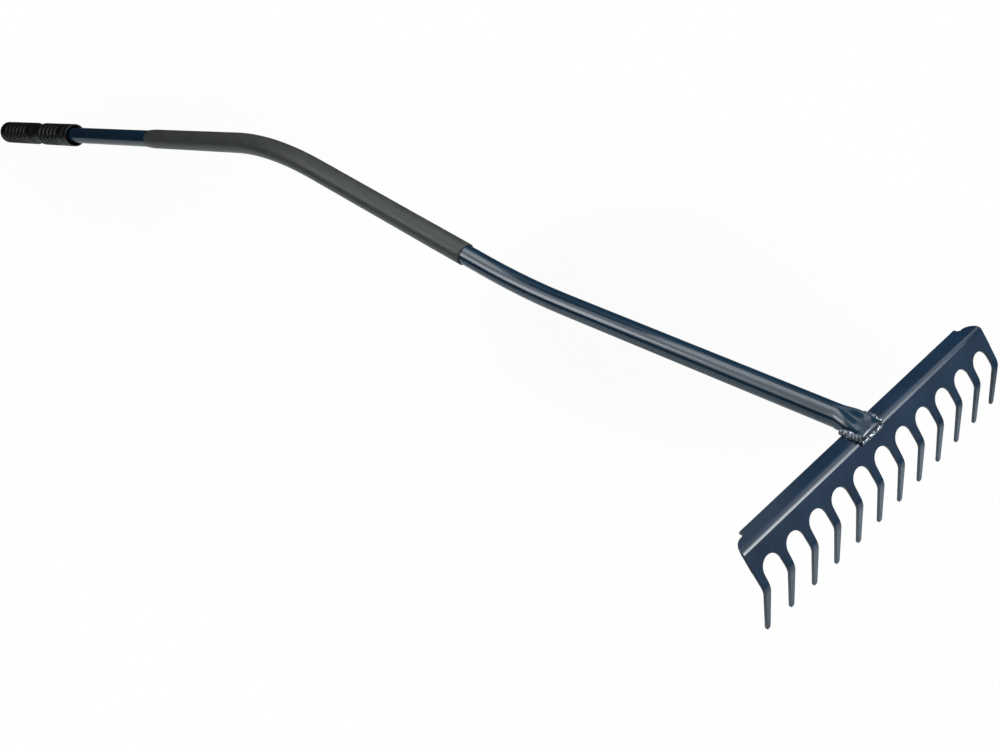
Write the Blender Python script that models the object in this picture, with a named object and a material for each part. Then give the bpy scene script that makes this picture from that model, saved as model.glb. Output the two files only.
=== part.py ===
"""A garden rake: a pressed steel head with twelve tines, welded to a bent tubular shaft.

Metres, +Z up. The rake lies at rest on the ground, on its tine tips and on the end of its grip.
Every piece is drawn in the head's frame: X runs along the head, +Y runs back along the shaft,
Z is square to the head's flange, and the origin is the ridge corner, where the flat flange and
the flat face would meet without the round bend between them. The parent empty then tips the
whole rake into its stance on the ground.
"""

import math

import bmesh
import bpy
from mathutils import Vector

# Head: one blank of sheet steel, bent at the ridge and at the knees of its tines
SHEET = 0.0028
TINE_COUNT = 12
TINE_PITCH = 0.032
FLANGE_DEPTH = 0.0167
RIDGE_TURN = math.radians(58.8)
RIDGE_RADIUS = 0.007
FACE_HEIGHT = 0.0446
KNEE_TURN = math.radians(34.4)
KNEE_RADIUS = 0.017
KNEE_BOW = 0.0051
TINE_DROP = 0.0451
TIP_RISE = 0.0018

# Head outline: slots with round tops, tapering tines, and ends that step in to the flange
ARCH_TOP = 0.0171
ROOT_WIDTH = 0.0089
KNEE_WIDTH = 0.0079
TIP_WIDTH = 0.0051
TIP_CHAMFER = 0.0022
TIP_NOSE = 0.0034
END_MARGIN = 0.0048
STEP_START = 0.019
STEP_LENGTH = 0.0035
SHOULDER_RADIUS = 0.0145
NOTCH_RADIUS = 0.0033
TAB_EDGE = 0.0018

# Shaft: one round tube, bent twice, with its lower end pressed flat to lie on the flange
TUBE_DIAMETER = 0.022
TUBE_WALL = 0.0015
NECK_LENGTH = 0.4152
RISE_TURN = math.radians(8.8)
RISE_RADIUS = 0.76
RISE_LENGTH = 0.4096
FALL_TURN = math.radians(22)
FALL_RADIUS = 0.4
FALL_LENGTH = 0.7642
TONGUE_THICKNESS = 0.005
TONGUE_OVERHANG = 0.0015
TONGUE_MARGIN = 0.001
PRESS_LENGTH = 0.015

# Welds: two fillets beside the tongue and one short bead under its open end
FILLET_LEG = 0.0026
FILLET_TOP = math.radians(38)
FILLET_FOOT = math.radians(-55)
FILLET_BULGE = 0.0011
FRONT_LEG = 0.0078
FRONT_BULGE = 0.0016
FRONT_LIP = 0.0011
BEAD_END = 0.65
RIPPLE_PITCH = 0.0031
RIPPLE_HEIGHT = 0.0003

# Sleeve: a soft foam tube pushed over the middle of the shaft
SLEEVE_START = 0.501
SLEEVE_LENGTH = 0.625
SLEEVE_WALL = 0.0012
SLEEVE_EDGE = 0.0005
SLEEVE_TAPER = 0.014

# Grip: a ribbed rubber handle with a cupped mouth towards the head and a closed end
GRIP_DIAMETER = 0.032
GRIP_END_WALL = 0.0138
CUP_DIAMETER = 0.0282
CUP_DEPTH = 0.012
LIP_LENGTH = 0.0125
LIP_GROOVE = 0.0018
COLLAR_LENGTH = 0.0207
RIB_DEPTH = 0.0016
FRONT_RIBS = 5
END_RIBS = 6
RIB_PITCH = 0.0131
RIB_FOOT = 0.01
RIB_CREST = 0.0053
WAIST_LENGTH = 0.0284
WAIST_SAG = 0.0018
BAND_LENGTH = 0.0157
END_ROUND = 0.0055
EDGE_ROUND = 0.0008

# Clearances between pieces that touch on the real rake
SEAT_GAP = 0.0003
SLEEVE_GAP = 0.0003
GRIP_GAP = 0.0003

# How finely the round shapes are cut
TUBE_SIDES = 28
GRIP_SIDES = 24
COLUMNS = 3
ARC_STEP = math.radians(15)
NOTCH_STEP = math.radians(22.5)
RIDGE_STEP = math.radians(8.4)
KNEE_STEP = math.radians(7.5)
BEND_STEP = math.radians(2.2)
PRESS_STEPS = 9
CURVE_STEPS = 4
RIPPLE_STEPS = 4
WAIST_STEPS = 7
LEAST_ROW = 0.0004

# Lines that the sizes above give
RIDGE_TANGENT = RIDGE_RADIUS * math.tan(RIDGE_TURN / 2)
RIDGE_START = FLANGE_DEPTH - RIDGE_TANGENT
RIDGE_END = RIDGE_START + RIDGE_RADIUS * RIDGE_TURN
KNEE_TANGENT = KNEE_RADIUS * math.tan(KNEE_TURN / 2)
OUTER_TINE = (TINE_COUNT - 1) / 2 * TINE_PITCH
HEAD_REACH = OUTER_TINE + END_MARGIN
FLANGE_REACH = HEAD_REACH - SHOULDER_RADIUS - NOTCH_RADIUS
TAB_DEPTH = TAB_EDGE + NOTCH_RADIUS
ARCH_RADIUS = (TINE_PITCH - ROOT_WIDTH) / 2
AXIS_HEIGHT = SEAT_GAP + TONGUE_THICKNESS / 2
TONGUE_END = FLANGE_DEPTH + TONGUE_MARGIN
TUBE_RADIUS = TUBE_DIAMETER / 2
GRIP_BORE = TUBE_RADIUS + GRIP_GAP
GRIP_RADIUS = GRIP_DIAMETER / 2
RIBS_LENGTH = (FRONT_RIBS + END_RIBS) * RIB_PITCH
GRIP_FRONT = LIP_LENGTH + LIP_GROOVE + COLLAR_LENGTH
GRIP_LENGTH = GRIP_FRONT + RIBS_LENGTH + WAIST_LENGTH + BAND_LENGTH + GRIP_END_WALL
GRIP_END = NECK_LENGTH + RISE_LENGTH + FALL_LENGTH
GRIP_MOUTH = GRIP_END - GRIP_LENGTH
SOCKET_END = GRIP_END - GRIP_END_WALL
TUBE_END = SOCKET_END - GRIP_GAP

# Distances along the shaft at which its two bends start and end
RISE_TANGENT = RISE_RADIUS * math.tan(RISE_TURN / 2)
FALL_TANGENT = FALL_RADIUS * math.tan(FALL_TURN / 2)
RISE_START = NECK_LENGTH - RISE_TANGENT
RISE_END = RISE_START + RISE_RADIUS * RISE_TURN
FALL_START = RISE_END + RISE_LENGTH - RISE_TANGENT - FALL_TANGENT
FALL_END = FALL_START + FALL_RADIUS * FALL_TURN

# Colours as red, green and blue, with roughness
NAVY = (0.012, 0.026, 0.05)
WELD_NAVY = (0.016, 0.03, 0.052)
SLEEVE_GREY = (0.09, 0.095, 0.1)
GRIP_BLACK = (0.012, 0.012, 0.012)


def clear_scene():
    """Remove the objects of the open scene."""
    for item in list(bpy.data.objects):
        bpy.data.objects.remove(item, do_unlink=True)


def make_material(name, colour, roughness):
    """A plain surface of one colour."""
    material = bpy.data.materials.new(name)
    material.use_nodes = True
    shader = material.node_tree.nodes["Principled BSDF"]
    shader.inputs["Base Color"].default_value = (*colour, 1.0)
    shader.inputs["Roughness"].default_value = roughness
    shader.inputs["Metallic"].default_value = 0.0
    return material


def add_piece(name, shape, material, parent):
    """Turn a bmesh into a named object under the rake's empty."""
    mesh = bpy.data.meshes.new(name)
    shape.to_mesh(mesh)
    shape.free()
    mesh.materials.append(material)
    piece = bpy.data.objects.new(name, mesh)
    piece.parent = parent
    bpy.context.scene.collection.objects.link(piece)
    return piece


def add_thickness(piece, thickness):
    """Give a skin its wall, on the inner side of its normals."""
    wall = piece.modifiers.new("wall", "SOLIDIFY")
    wall.thickness = thickness
    wall.offset = -1.0
    wall.use_even_offset = True


def walk(distance, bends):
    """Where a line of straights and round bends is, and how it slopes, after a distance.

    The line starts level at (0, 0). A bend is its start, its radius and its turn, and a turn
    above zero goes upwards.
    """
    along = 0.0
    up = 0.0
    slope = 0.0
    reached = 0.0
    for start, radius, turn in bends:
        straight = min(distance, start) - reached
        along += straight * math.cos(slope)
        up += straight * math.sin(slope)
        if distance <= start:
            return along, up, slope
        side = math.copysign(radius, turn)
        length = radius * abs(turn)
        swept = turn * min(1.0, (distance - start) / length)
        along += side * (math.sin(slope + swept) - math.sin(slope))
        up += side * (math.cos(slope) - math.cos(slope + swept))
        slope += swept
        reached = start + length
        if distance <= reached:
            return along, up, slope
    straight = distance - reached
    return along + straight * math.cos(slope), up + straight * math.sin(slope), slope


def steps(first, last, count):
    """Evenly spaced values from first to last, both included."""
    return [first + (last - first) * index / count for index in range(count + 1)]


def arc_count(turn, step):
    """How many straight cuts stand in for a turn."""
    return max(2, math.ceil(abs(turn) / step))


def spaced_rows(rows):
    """Rows in order, without those that fall closer than the least row height."""
    kept = []
    for row in sorted(rows):
        if not kept or row - kept[-1] > LEAST_ROW:
            kept.append(row)
    return kept


def bow_share(x):
    """How much of the knee line's bow a tine at x has, from 0 in the middle to 1 outside."""
    return (x / OUTER_TINE) ** 2


def knee_start(x):
    """Distance down the blank at which the knee of the tine at x begins."""
    corner = FACE_HEIGHT - KNEE_BOW * bow_share(x)
    return RIDGE_END + corner - RIDGE_TANGENT - KNEE_TANGENT


def skin_point(distance, x, knee_x):
    """Point of the head's outer skin, at a distance down the blank from the flange's edge."""
    bends = [
        (RIDGE_START, RIDGE_RADIUS, -RIDGE_TURN),
        (knee_start(knee_x), KNEE_RADIUS, -KNEE_TURN),
    ]
    forward, up, slope = walk(distance, bends)
    return Vector((x, FLANGE_DEPTH - forward, up))


def tine_end(x, stance):
    """Distance down the blank to a tine's tip: the middle ones meet the ground, the outer ones
    stand a little above it, on a shallow bow."""
    lost_height = KNEE_BOW * math.sin(RIDGE_TURN + stance) - TIP_RISE
    drop = TINE_DROP + bow_share(x) * lost_height / math.sin(RIDGE_TURN + KNEE_TURN + stance)
    return knee_start(x) + KNEE_RADIUS * KNEE_TURN + drop - KNEE_TANGENT


def shaft_point(distance):
    """Centre of the shaft and its slope, at a distance along it from the ridge corner."""
    bends = [(RISE_START, RISE_RADIUS, RISE_TURN), (FALL_START, FALL_RADIUS, -FALL_TURN)]
    along, up, slope = walk(distance, bends)
    return Vector((0.0, along, AXIS_HEIGHT + up)), slope


def shaft_rows(first, last):
    """Distances along the shaft where a straight or bent stretch needs a ring."""
    rows = [first, last]
    rows += steps(RISE_START, RISE_END, arc_count(RISE_TURN, BEND_STEP))
    rows += steps(FALL_START, FALL_END, arc_count(FALL_TURN, BEND_STEP))
    return spaced_rows(row for row in rows if first <= row <= last)


def stance_angle():
    """Angle that sets the tine tips and the rounded edge of the grip's end on level ground."""
    tip = skin_point(tine_end(0.0, 0.0), 0.0, 0.0)
    centre, slope = shaft_point(GRIP_END - END_ROUND)
    below = GRIP_RADIUS - END_ROUND
    edge = centre + below * Vector((0.0, math.sin(slope), -math.cos(slope)))
    across = edge - tip
    return math.asin(END_ROUND / across.length) - math.atan2(across.z, across.y)


def end_reach(distance):
    """Half length of the plate at a distance down the blank, with its stepped, rounded ends."""
    if distance <= TAB_EDGE:
        return FLANGE_REACH
    if distance <= TAB_DEPTH:
        depth = distance - TAB_EDGE
        return FLANGE_REACH + NOTCH_RADIUS - math.sqrt(NOTCH_RADIUS ** 2 - depth ** 2)
    depth = TAB_DEPTH + SHOULDER_RADIUS - distance
    if depth <= 0:
        return HEAD_REACH
    corner = math.sqrt(SHOULDER_RADIUS ** 2 - depth ** 2)
    return HEAD_REACH - SHOULDER_RADIUS + corner


def plate_rows():
    """Distances down the blank where the plate above the slots needs a row of points."""
    quarter = math.pi / 2
    notch = steps(0.0, quarter, arc_count(quarter, NOTCH_STEP))
    shoulder = steps(0.0, quarter, arc_count(quarter, ARC_STEP))
    rows = [0.0, TAB_EDGE]
    rows += [TAB_EDGE + NOTCH_RADIUS * math.sin(angle) for angle in notch]
    rows += [TAB_DEPTH + SHOULDER_RADIUS * (1 - math.cos(angle)) for angle in shoulder]
    rows += steps(RIDGE_START, RIDGE_END, arc_count(RIDGE_TURN, RIDGE_STEP))
    last = RIDGE_END + ARCH_TOP - RIDGE_TANGENT
    return spaced_rows([row for row in rows if row < last - LEAST_ROW] + [last])


def half_width(distance, x, stance):
    """Half width of the tine at x, below the round tops of its slots."""
    widest = RIDGE_END + ARCH_TOP - RIDGE_TANGENT + ARCH_RADIUS
    knee = knee_start(x) + KNEE_RADIUS * KNEE_TURN / 2
    tip = tine_end(x, stance)
    if distance < widest:
        depth = widest - distance
        return TINE_PITCH / 2 - math.sqrt(max(0.0, ARCH_RADIUS ** 2 - depth ** 2))
    if distance < knee:
        share = (distance - widest) / (knee - widest)
        return (ROOT_WIDTH + (KNEE_WIDTH - ROOT_WIDTH) * share) / 2
    if distance < tip - TIP_CHAMFER:
        share = (distance - knee) / (tip - TIP_CHAMFER - knee)
        return (KNEE_WIDTH + (TIP_WIDTH - KNEE_WIDTH) * share) / 2
    share = (distance - tip + TIP_CHAMFER) / TIP_CHAMFER
    return (TIP_WIDTH + (TIP_NOSE - TIP_WIDTH) * share) / 2


def outer_half_width(distance, x, stance):
    """Half width of an end tine on its free side, where the plate's end steps in to it."""
    start = RIDGE_END + STEP_START - RIDGE_TANGENT
    share = min(1.0, max(0.0, (distance - start) / STEP_LENGTH))
    widest = RIDGE_END + ARCH_TOP - RIDGE_TANGENT + ARCH_RADIUS
    tine = half_width(max(distance, widest), x, stance)
    return END_MARGIN + (tine - END_MARGIN) * share * share * (3 - 2 * share)


def tine_rows(x, stance):
    """Distances down the blank where the tine at x needs a row of points."""
    top = RIDGE_END + ARCH_TOP - RIDGE_TANGENT
    quarter = math.pi / 2
    arch = steps(0.0, quarter, arc_count(quarter, ARC_STEP))[1:]
    knee = knee_start(x)
    knee_end = knee + KNEE_RADIUS * KNEE_TURN
    tip = tine_end(x, stance)
    rows = [top + ARCH_RADIUS * (1 - math.cos(angle)) for angle in arch]
    rows += steps(knee, knee_end, arc_count(KNEE_TURN, KNEE_STEP))
    rows += [tip - TIP_CHAMFER, tip]
    return spaced_rows(rows)


def join_rows(shape, upper, lower):
    """Fill the strip between two rows of as many points."""
    for index in range(len(upper) - 1):
        corners = (upper[index], upper[index + 1], lower[index + 1], lower[index])
        shape.faces.new(corners)


def make_head(material, parent, stance):
    """The head: flange, ridge, face and tines, as one bent skin that then gets its thickness."""
    shape = bmesh.new()
    centres = [TINE_PITCH * index - OUTER_TINE for index in range(TINE_COUNT)]
    columns = []
    for x in centres:
        left = -HEAD_REACH if x == centres[0] else x - TINE_PITCH / 2
        right = HEAD_REACH if x == centres[-1] else x + TINE_PITCH / 2
        columns += steps(left, right, COLUMNS)[:COLUMNS]
    columns.append(HEAD_REACH)

    row = None
    for distance in plate_rows():
        scale = end_reach(distance) / HEAD_REACH
        points = [shape.verts.new(skin_point(distance, x * scale, 0.0)) for x in columns]
        if row:
            join_rows(shape, points, row)
        row = points

    for number, x in enumerate(centres):
        upper = row[number * COLUMNS:(number + 1) * COLUMNS + 1]
        for distance in tine_rows(x, stance):
            inner = half_width(distance, x, stance)
            outer = outer_half_width(distance, x, stance)
            left = x - (outer if x == centres[0] else inner)
            right = x + (outer if x == centres[-1] else inner)
            places = steps(left, right, COLUMNS)
            lower = [shape.verts.new(skin_point(distance, place, x)) for place in places]
            join_rows(shape, lower, upper)
            upper = lower

    head = add_piece("rake_head", shape, material, parent)
    add_thickness(head, SHEET)
    return head


def ring_points(distance, wide, high, sides):
    """Ring square to the shaft: two half rounds of radius high, spread apart by wide."""
    centre, slope = shaft_point(distance)
    upwards = Vector((0.0, -math.sin(slope), math.cos(slope)))
    points = []
    for index in range(sides):
        angle = 2 * math.pi * (index + 0.5) / sides
        spread = math.copysign(wide, math.cos(angle)) + high * math.cos(angle)
        points.append(centre + Vector((spread, 0.0, 0.0)) + upwards * high * math.sin(angle))
    return points


def join_rings(shape, first, second):
    """Bridge two closed rings, of which either may be a single point."""
    count = max(len(first), len(second))
    for index in range(count):
        following = (index + 1) % count
        corners = []
        for corner in (
            second[index % len(second)],
            second[following % len(second)],
            first[following % len(first)],
            first[index % len(first)],
        ):
            if corner not in corners:
                corners.append(corner)
        shape.faces.new(corners)


def tongue_share(distance):
    """How far the tube is pressed flat, from 1 on the flange to 0 where it is round."""
    share = min(1.0, max(0.0, (distance - TONGUE_END) / PRESS_LENGTH))
    return 1 - share * share * (3 - 2 * share)


def make_tube(material, parent):
    """The shaft: a tube of one girth all along, whose end is pressed to an open tongue."""
    shape = bmesh.new()
    rows = [-TONGUE_OVERHANG]
    rows += steps(TONGUE_END, TONGUE_END + PRESS_LENGTH, PRESS_STEPS)
    rows += shaft_rows(TONGUE_END + PRESS_LENGTH, TUBE_END)
    previous = None
    for distance in spaced_rows(rows):
        high = TUBE_RADIUS + (TONGUE_THICKNESS / 2 - TUBE_RADIUS) * tongue_share(distance)
        wide = math.pi * (TUBE_RADIUS - high) / 2
        ring = [shape.verts.new(point) for point in ring_points(distance, wide, high, TUBE_SIDES)]
        if previous:
            join_rings(shape, previous, ring)
        previous = ring
    tube = add_piece("shaft_tube", shape, material, parent)
    add_thickness(tube, TUBE_WALL)
    return tube


def turn_outline(shape, outline, sides, closed):
    """Turn an outline of distances along the shaft and radii round the shaft's line."""
    rings = []
    for distance, radius in outline:
        if radius == 0:
            centre, slope = shaft_point(distance)
            rings.append([shape.verts.new(centre)])
        else:
            points = ring_points(distance, 0.0, radius, sides)
            rings.append([shape.verts.new(point) for point in points])
    pairs = list(zip(rings, rings[1:]))
    if closed:
        pairs.append((rings[-1], rings[0]))
    for first, second in pairs:
        join_rings(shape, first, second)
    bmesh.ops.recalc_face_normals(shape, faces=shape.faces)


def make_sleeve(material, parent):
    """The sleeve: a thin soft tube that follows the shaft over its top bend."""
    bore = TUBE_RADIUS + SLEEVE_GAP
    outside = bore + SLEEVE_WALL
    thin = bore + SLEEVE_EDGE
    last = SLEEVE_START + SLEEVE_LENGTH
    outer_rows = shaft_rows(SLEEVE_START + SLEEVE_EDGE, last - SLEEVE_TAPER)
    inner_rows = shaft_rows(SLEEVE_START, last)
    outline = [(SLEEVE_START, outside - SLEEVE_EDGE)]
    outline += [(row, outside) for row in outer_rows]
    outline.append((last, thin))
    outline += [(row, bore) for row in reversed(inner_rows)]
    shape = bmesh.new()
    turn_outline(shape, outline, TUBE_SIDES, closed=True)
    return add_piece("shaft_sleeve", shape, material, parent)


def rib_outline(start, count):
    """Outline of one row of ribs: each rises from its groove to a flat crest and falls again."""
    groove = GRIP_RADIUS - RIB_DEPTH
    outline = []
    for number in range(count):
        middle = start + (number + 0.5) * RIB_PITCH
        outline += [
            (middle - RIB_FOOT / 2, groove),
            (middle - RIB_CREST / 2, GRIP_RADIUS),
            (middle + RIB_CREST / 2, GRIP_RADIUS),
            (middle + RIB_FOOT / 2, groove),
        ]
    return outline


def band_outline(first, last):
    """Outline of a plain band between two edges that are eased a little."""
    return [
        (first, GRIP_RADIUS - EDGE_ROUND),
        (first + EDGE_ROUND, GRIP_RADIUS),
        (last - EDGE_ROUND, GRIP_RADIUS),
        (last, GRIP_RADIUS - EDGE_ROUND),
    ]


def make_grip(material, parent):
    """The grip: a cupped lip, a collar, ribs, a waist, a plain band, ribs and a round end."""
    lip_end = GRIP_MOUTH + LIP_LENGTH
    collar_end = GRIP_MOUTH + GRIP_FRONT
    waist_start = collar_end + FRONT_RIBS * RIB_PITCH
    band_start = waist_start + WAIST_LENGTH
    band_end = band_start + BAND_LENGTH
    cup = CUP_DIAMETER / 2
    outline = [
        (SOCKET_END, 0),
        (SOCKET_END, GRIP_BORE),
        (GRIP_MOUTH + CUP_DEPTH, GRIP_BORE),
        (GRIP_MOUTH + EDGE_ROUND, cup),
        (GRIP_MOUTH, cup + EDGE_ROUND / 2),
    ]
    outline += band_outline(GRIP_MOUTH, lip_end)
    outline += band_outline(lip_end + LIP_GROOVE, collar_end)
    outline += rib_outline(collar_end, FRONT_RIBS)
    for share in steps(0.0, 1.0, WAIST_STEPS):
        depth = RIB_DEPTH * (1 - share) + WAIST_SAG * math.sin(math.pi * share)
        outline.append((waist_start + WAIST_LENGTH * share, GRIP_RADIUS - depth))
    outline += [(band_end - EDGE_ROUND, GRIP_RADIUS), (band_end, GRIP_RADIUS - EDGE_ROUND)]
    outline += rib_outline(band_end, END_RIBS)
    quarter = math.pi / 2
    for angle in steps(0.0, quarter, arc_count(quarter, NOTCH_STEP)):
        place = GRIP_END - END_ROUND * (1 - math.sin(angle))
        outline.append((place, GRIP_RADIUS - END_ROUND * (1 - math.cos(angle))))
    outline.append((GRIP_END, 0))
    shape = bmesh.new()
    turn_outline(shape, outline, GRIP_SIDES, closed=False)
    return add_piece("end_grip", shape, material, parent)


def swell(start, end, rise, count):
    """Points of a round swell from start to end, whose middle stands out by the vector rise."""
    pull = start.lerp(end, 0.5) + 2 * rise
    points = []
    for share in steps(0.0, 1.0, count):
        near = start.lerp(pull, share)
        far = pull.lerp(end, share)
        points.append(near.lerp(far, share))
    return points


def make_bead(name, sections, material, parent):
    """A weld bead through a run of cross-sections, closed at both ends."""
    shape = bmesh.new()
    rings = [[shape.verts.new(point) for point in section] for section in sections]
    for first, second in zip(rings, rings[1:]):
        join_rings(shape, first, second)
    shape.faces.new(reversed(rings[0]))
    shape.faces.new(rings[-1])
    bmesh.ops.recalc_face_normals(shape, faces=shape.faces)
    return add_piece(name, shape, material, parent)


def ripple(distance):
    """Height that the bead's ripples add at a distance along it."""
    return RIPPLE_HEIGHT * math.sin(2 * math.pi * distance / RIPPLE_PITCH)


def fillet_section(side, y, size):
    """Cross-section of a side fillet: hollow against the tongue, flat on the flange, round out."""
    half_round = TONGUE_THICKNESS / 2
    spread = math.pi * (TUBE_RADIUS - half_round) / 2
    reach = half_round + SEAT_GAP
    points = []
    for angle in steps(FILLET_FOOT, FILLET_TOP, CURVE_STEPS):
        across = spread + reach * math.cos(angle)
        points.append(Vector((across, y, AXIS_HEIGHT + reach * math.sin(angle))))
    top = points[-1]
    foot = Vector((spread + reach + FILLET_LEG * size, y, SEAT_GAP))
    outwards = Vector((top.z - foot.z, 0.0, foot.x - top.x)).normalized()
    rise = outwards * (FILLET_BULGE * size + ripple(y))
    points += swell(top, foot, rise, CURVE_STEPS)[1:]
    points[0].z = SEAT_GAP
    return [Vector((side * point.x, point.y, point.z)) for point in points]


def make_fillet(name, side, material, parent):
    """A fillet weld along one side of the tongue, from the flange's edge to the ridge bend."""
    first = FLANGE_DEPTH - SEAT_GAP
    last = RIDGE_TANGENT
    count = max(RIPPLE_STEPS, round((first - last) / RIPPLE_PITCH * RIPPLE_STEPS))
    sections = []
    for number, y in enumerate(steps(first, last, count)):
        end = number in (0, count)
        sections.append(fillet_section(side, y, BEAD_END if end else 1.0))
    return make_bead(name, sections, material, parent)


def front_section(x, size):
    """Cross-section of the front bead, in the corner between the tongue's lip and the face."""
    back = -TONGUE_OVERHANG - SEAT_GAP
    outwards = Vector((0.0, -math.sin(RIDGE_TURN), math.cos(RIDGE_TURN)))
    downwards = Vector((0.0, -math.cos(RIDGE_TURN), -math.sin(RIDGE_TURN)))
    lip = Vector((0.0, back, SEAT_GAP + FRONT_LIP * size))
    seat = outwards * SEAT_GAP
    heel = seat + downwards * ((seat.y - back) / math.cos(RIDGE_TURN))
    toe = seat + downwards * (FRONT_LEG * size)
    toe_top = toe + outwards * FRONT_LIP / 2
    rise = outwards * (FRONT_BULGE * size + ripple(x))
    points = [heel, *swell(lip, toe_top, rise, CURVE_STEPS + 1), toe]
    return [point + Vector((x, 0.0, 0.0)) for point in points]


def make_front_bead(material, parent):
    """The short bead under the tongue's open end, which joins its lower lip to the face."""
    half_round = TONGUE_THICKNESS / 2
    reach = math.pi * (TUBE_RADIUS - half_round) / 2 + half_round
    count = max(RIPPLE_STEPS, round(2 * reach / RIPPLE_PITCH * RIPPLE_STEPS))
    sections = []
    for number, x in enumerate(steps(-reach, reach, count)):
        end = number in (0, count)
        sections.append(front_section(x, BEAD_END if end else 1.0))
    return make_bead("front_weld", sections, material, parent)


def stand_on_ground(root, pieces, stance):
    """Tip the rake into its stance, with the middle of its footprint over the origin."""
    root.rotation_euler = (stance, 0.0, 0.0)
    bpy.context.view_layer.update()
    depsgraph = bpy.context.evaluated_depsgraph_get()
    points = []
    for piece in pieces:
        solid = piece.evaluated_get(depsgraph)
        points += [solid.matrix_world @ vertex.co for vertex in solid.data.vertices]
    middle = [(min(point[axis] for point in points) + max(point[axis] for point in points)) / 2
              for axis in (0, 1)]
    root.location = (-middle[0], -middle[1], -min(point.z for point in points))
    bpy.context.view_layer.update()


def main():
    clear_scene()
    root = bpy.data.objects.new("rake", None)
    bpy.context.scene.collection.objects.link(root)
    head_paint = make_material("head_enamel", NAVY, 0.28)
    tube_paint = make_material("shaft_enamel", NAVY, 0.24)
    weld_paint = make_material("weld_enamel", WELD_NAVY, 0.4)
    foam = make_material("sleeve_foam", SLEEVE_GREY, 0.75)
    rubber = make_material("grip_rubber", GRIP_BLACK, 0.5)
    stance = stance_angle()
    pieces = [
        make_head(head_paint, root, stance),
        make_tube(tube_paint, root),
        make_fillet("left_weld", 1, weld_paint, root),
        make_fillet("right_weld", -1, weld_paint, root),
        make_front_bead(weld_paint, root),
        make_sleeve(foam, root),
        make_grip(rubber, root),
    ]
    stand_on_ground(root, pieces, stance)


main()
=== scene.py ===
"""Garden rake: pressed steel head, bent tubular shaft, foam sleeve and ribbed rubber grip.

The file is laid out as an add-on and is run as a script. Every piece is drawn in the head's
frame, in metres: X runs along the head, +Y back along the shaft, Z square to the head's flange,
and the origin is the corner where flange and face would meet. The piece is then tipped into the
rake's stance on the ground.
"""

import math

import bmesh
import bpy
from mathutils import Matrix, Vector, noise


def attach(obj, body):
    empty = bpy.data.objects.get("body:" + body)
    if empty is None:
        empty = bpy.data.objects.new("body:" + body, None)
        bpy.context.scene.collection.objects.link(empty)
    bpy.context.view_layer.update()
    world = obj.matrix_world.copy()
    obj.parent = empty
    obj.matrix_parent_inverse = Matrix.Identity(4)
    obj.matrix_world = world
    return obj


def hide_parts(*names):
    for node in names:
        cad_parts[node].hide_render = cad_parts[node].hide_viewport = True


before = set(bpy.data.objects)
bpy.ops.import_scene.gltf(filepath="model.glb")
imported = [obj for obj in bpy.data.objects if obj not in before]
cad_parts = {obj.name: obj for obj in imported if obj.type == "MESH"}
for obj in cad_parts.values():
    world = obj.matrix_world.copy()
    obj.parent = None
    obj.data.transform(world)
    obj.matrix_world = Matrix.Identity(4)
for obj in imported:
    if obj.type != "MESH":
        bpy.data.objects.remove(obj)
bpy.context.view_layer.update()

bl_info = {
    "name": "Garden Rake",
    "version": (1, 0, 0),
    "blender": (4, 5, 0),
    "location": "View3D > Sidebar > Rake",
    "description": "Builds a steel garden rake with a foam sleeve and a ribbed grip",
    "category": "Add Mesh",
}

# How the rake lies: its tine tips and the end of its grip are on the ground
STANCE = math.radians(1.48103)
STANCE_PLACE = Vector((0.0, -0.7744039297, 0.0836683363))

# Head, as lengths on its flat blank
FLANGE_DEPTH = 0.0167
FACE_HEIGHT = 0.0446
KNEE_BOW = 0.0051
TINE_DROP = 0.0451
TIP_RISE = 0.0018
ARCH_TOP = 0.0171
ROOT_WIDTH = 0.0089
KNEE_WIDTH = 0.0079
TIP_WIDTH = 0.0051
TIP_CHAMFER = 0.0022
TIP_NOSE = 0.0034
END_MARGIN = 0.0048
STEP_START = 0.019
STEP_LENGTH = 0.0035
STEP_ROUND = 0.0012
SHOULDER_RADIUS = 0.0145
NOTCH_RADIUS = 0.0033
TAB_DEPTH = 0.0051
TAB_ROUND = 0.0006

# Head's mesh: a narrow rim inside each cut edge, a narrow row beside each bend, the rows in each
# bend, the cuts in a corner of full size, and how close points are when they are merged
RIM = 0.0009
BEND_EDGE = 0.0006
RIDGE_ROWS = 20
KNEE_ROWS = 13
CORNER_CUTS = 12
FULL_CORNER = 0.006
CORNER_MERGE = 2e-5
ROW_MERGE = 4e-5
ROW_SNAP = 1e-7

# Shaft line: lengths from the ridge to the corner of each bend, and on to the shaft's end
NECK_LENGTH = 0.4152
RISE_TURN = math.radians(8.8)
RISE_RADIUS = 0.76
RISE_LENGTH = 0.4096
FALL_TURN = math.radians(22)
FALL_RADIUS = 0.4
FALL_LENGTH = 0.7642
SHAFT_END = NECK_LENGTH + RISE_LENGTH + FALL_LENGTH
SEAT_GAP = 0.0003

# Tongue: the shaft's lower end, pressed flat, with the upper lip's edge turned down. The press
# lets the tube go round between FLAT and ROUND along the shaft. A crown of 2 is an ellipse, and
# a higher one is squarer.
TONGUE_THICKNESS = 0.005
TONGUE_FRONT = -0.0026
TONGUE_SQUEEZE = 0.12
TOP_FLAT = 0.0
TOP_ROUND = 0.034
SHOULDER_ROUND = 0.009
SHOULDER_POWER = 1.3
UNDER_FLAT = 0.0175
UNDER_ROUND = 0.032
TOP_CROWN = 2.4
UNDER_CROWN = 6.0
LIP_LENGTH = 0.0015
LIP_DROP = 0.002
AXIS_HEIGHT = SEAT_GAP + TONGUE_THICKNESS / 2

# Tube's mesh: rows on the lip, the gap behind them, and the gaps between rows further on
TUBE_SIDES = 72
LIP_ROWS = 4
LIP_GAP = 0.0004
TONGUE_ROW = 0.0008
SHAFT_ROW = 0.008

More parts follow.
